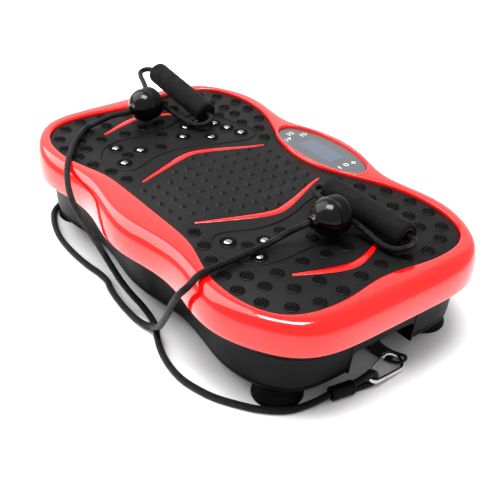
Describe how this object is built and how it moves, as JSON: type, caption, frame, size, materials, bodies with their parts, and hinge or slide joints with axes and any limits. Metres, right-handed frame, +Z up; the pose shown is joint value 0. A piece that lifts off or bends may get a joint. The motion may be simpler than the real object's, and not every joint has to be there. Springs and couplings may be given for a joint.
{
  "type": "vibration plate",
  "caption": "Rocking foot plate on a weighted base with a belt and crank drive inside, a ribbed massage mat, a display, and elastic bands with foam grips and snap hooks.",
  "frame": {"origin": "centre of the plate on the floor plane", "axes": "+X along the plate, +Y towards the display side, +Z up"},
  "size_m": [0.5892, 0.3665, 0.1738],
  "materials": {
    "red_shell": "glossy red moulding",
    "black_shell": "satin black moulding",
    "mat_rubber": "matte dark grey moulded rubber",
    "foot_rubber": "matte black rubber",
    "stud_chrome": "polished domes",
    "panel_glass": "smoked clear panel",
    "board": "printed circuit board",
    "frame_steel": "powder coated steel",
    "bright_steel": "bright zinc plated steel",
    "pulley": "turned aluminium",
    "bronze": "sintered bronze",
    "motor_can": "painted motor can",
    "belt_rubber": "ribbed belt rubber",
    "inlet": "black moulded inlet",
    "switch": "red rocker",
    "webbing": "black woven strap",
    "cord": "black braided elastic cord",
    "sleeve": "black shrink sleeve",
    "stopper_gloss": "polished black plastic",
    "stopper_matte": "matte black plastic",
    "foam": "soft black foam",
    "tube": "black plastic tube"
  },
  "bodies": {
    "base": {"base_housing": "black_shell", "service_cover": "black_shell", "cover_screws": "bright_steel", "base_frame": "frame_steel", "frame_bolts": "bright_steel", "suction_feet": "foot_rubber", "foot_bolts": "bright_steel", "pivot_blocks": "frame_steel", "pivot_shaft": "bright_steel", "motor": "motor_can", "motor_bracket": "frame_steel", "drive_belt": "belt_rubber", "bearing_blocks": "frame_steel", "rubber_bumpers": "foot_rubber", "control_board": "board", "power_inlet": "inlet", "switch_bezel": "inlet", "strap_right": "webbing", "strap_left": "webbing", "strap_clamps": "frame_steel", "strap_screws": "bright_steel", "band_left": "cord", "band_right": "cord", "band_eye_right": "cord", "band_eye_left": "cord", "crimp_sleeve_right": "sleeve", "crimp_sleeve_left": "sleeve", "carabiner_right": "bright_steel", "carabiner_left": "bright_steel"},
    "rocker": {"switch_rocker": "switch"},
    "rotor": {"motor_rotor": "bright_steel"},
    "crank": {"crankshaft": "bright_steel", "crank_pulley": "pulley"},
    "deck": {"pivot_bushes": "bronze", "connecting_link": "frame_steel", "top_shell": "red_shell", "massage_mat": "mat_rubber", "magnet_studs": "stud_chrome", "deck_frame": "frame_steel", "deck_screws": "bright_steel", "display_lens": "panel_glass", "display_board": "board", "stopper_shell_left": "stopper_gloss", "stopper_cap_left": "stopper_matte", "stopper_knot_left": "cord", "stopper_shell_right": "stopper_gloss", "stopper_cap_right": "stopper_matte", "stopper_knot_right": "cord", "handle_cord_left": "cord", "handle_cord_right": "cord"},
    "grip_left": {"grip_foam_left": "foam", "grip_core_left": "tube"},
    "grip_right": {"grip_foam_right": "foam", "grip_core_right": "tube"},
    "gate_right_body": {"gate_right": "bright_steel"},
    "gate_left_body": {"gate_left": "bright_steel"}
  },
  "joints": [
    {"name": "deck_rock", "type": "hinge", "parent": "base", "child": "deck", "pos_m": [0, 0, 0.062], "axis": [0, 1, 0], "range_deg": [-1.5, 1.5], "stiffness_Nm_per_rad": 300, "deforming": ["band_left", "band_right"]},
    {"name": "crank_spin", "type": "hinge", "parent": "base", "child": "crank", "pos_m": [0.11, 0, 0.058], "axis": [0, 1, 0], "continuous": true},
    {"name": "motor_spin", "type": "hinge", "parent": "base", "child": "rotor", "pos_m": [-0.11, 0, 0.058], "axis": [0, 1, 0], "continuous": true},
    {"name": "power_rocker", "type": "hinge", "parent": "base", "child": "rocker", "pos_m": [-0.07, 0.146, 0.048], "axis": [1, 0, 0], "range_deg": [0, 16]},
    {"name": "grip_left_spin", "type": "hinge", "parent": "deck", "child": "grip_left", "pos_m": [-0.21, 0.055, 0.1505], "axis": [0.9903, 0, -0.1392], "continuous": true},
    {"name": "grip_right_spin", "type": "hinge", "parent": "deck", "child": "grip_right", "pos_m": [0.17, 0.0555, 0.1416], "axis": [1, 0, 0], "continuous": true},
    {"name": "gate_right_hinge", "type": "hinge", "parent": "base", "child": "gate_right_body", "pos_m": [0.26689, -0.01188, 0.01101], "axis": [-0.2209, -0.1299, -0.9666], "range_deg": [0, 22], "stiffness_Nm_per_rad": 0.02, "springref_deg": -11.46},
    {"name": "gate_left_hinge", "type": "hinge", "parent": "base", "child": "gate_left_body", "pos_m": [-0.26689, -0.01188, 0.01101], "axis": [-0.2209, 0.1299, 0.9666], "range_deg": [0, 22], "stiffness_Nm_per_rad": 0.02, "springref_deg": -11.46}
  ],
  "couplings": [
    {"joint": "motor_spin", "follows": "crank_spin", "ratio": 2.1667}
  ]
}
